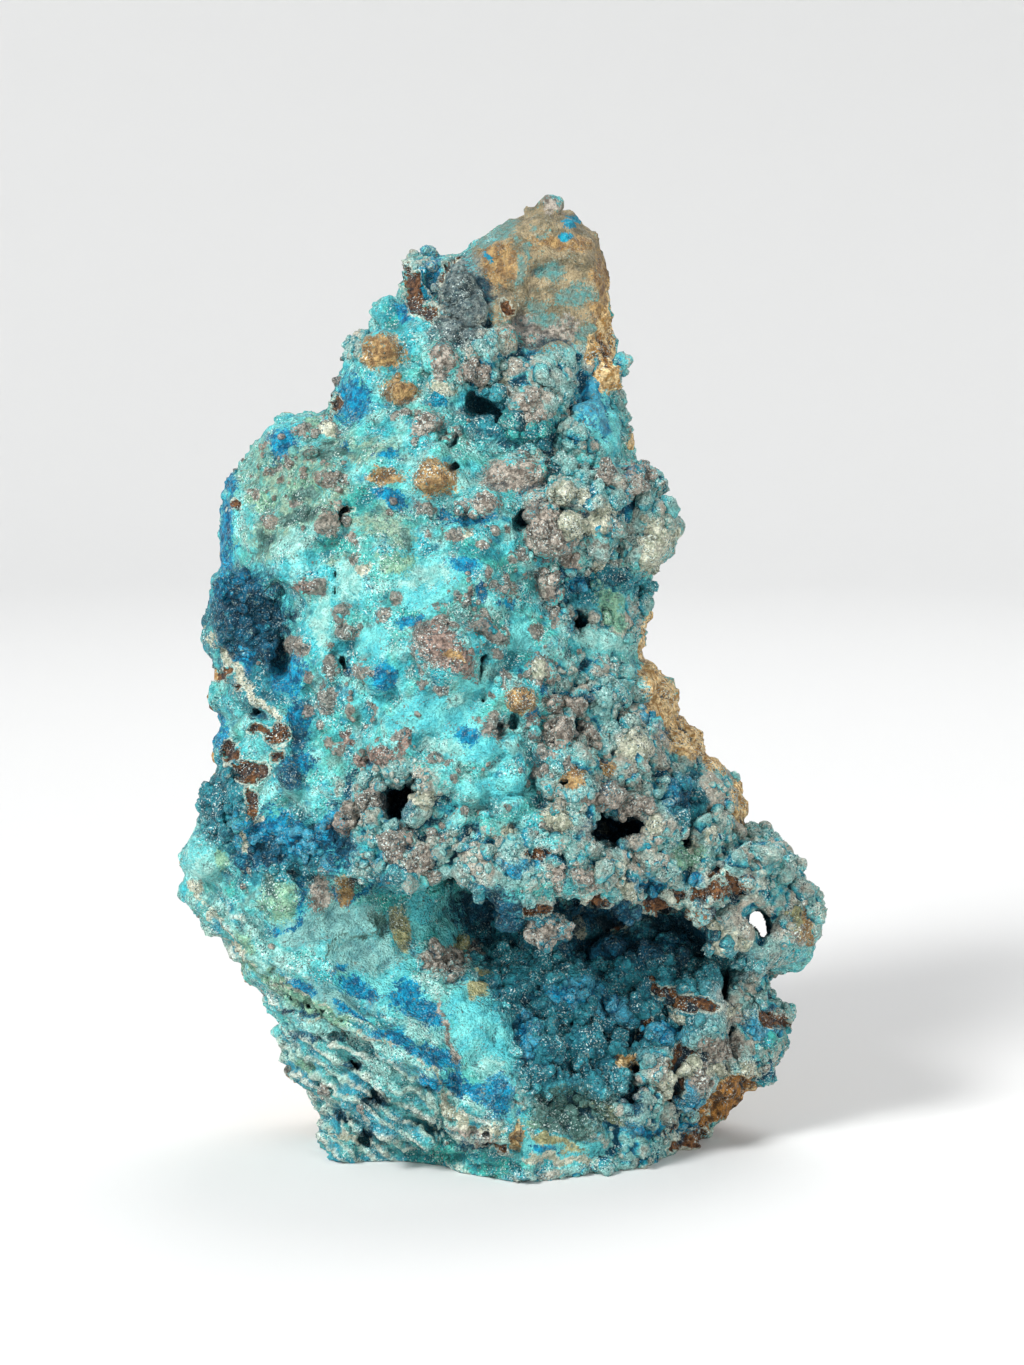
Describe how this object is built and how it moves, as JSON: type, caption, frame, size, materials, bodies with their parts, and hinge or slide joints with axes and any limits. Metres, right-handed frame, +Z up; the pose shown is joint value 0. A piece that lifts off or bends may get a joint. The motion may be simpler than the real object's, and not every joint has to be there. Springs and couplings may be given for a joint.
{
  "type": "mineral specimen",
  "caption": "Upright rock specimen with a blue-green copper mineral crust, grape-like druse, an overhanging ledge and a flat base to stand on.",
  "frame": {"origin": "on the flat base, under the middle of the specimen's bounding box", "axes": "+Z up along the specimen's height, -Y out of the crusted front, +X to the right of the front"},
  "size_m": [0.0976, 0.068, 0.143],
  "materials": {
    "crust": "rough crystalline crust, turquoise to deep blue, with grey-pink nodules and ochre rock"
  },
  "bodies": {
    "root": {"serpierite_rock": "crust"}
  },
  "joints": []
}
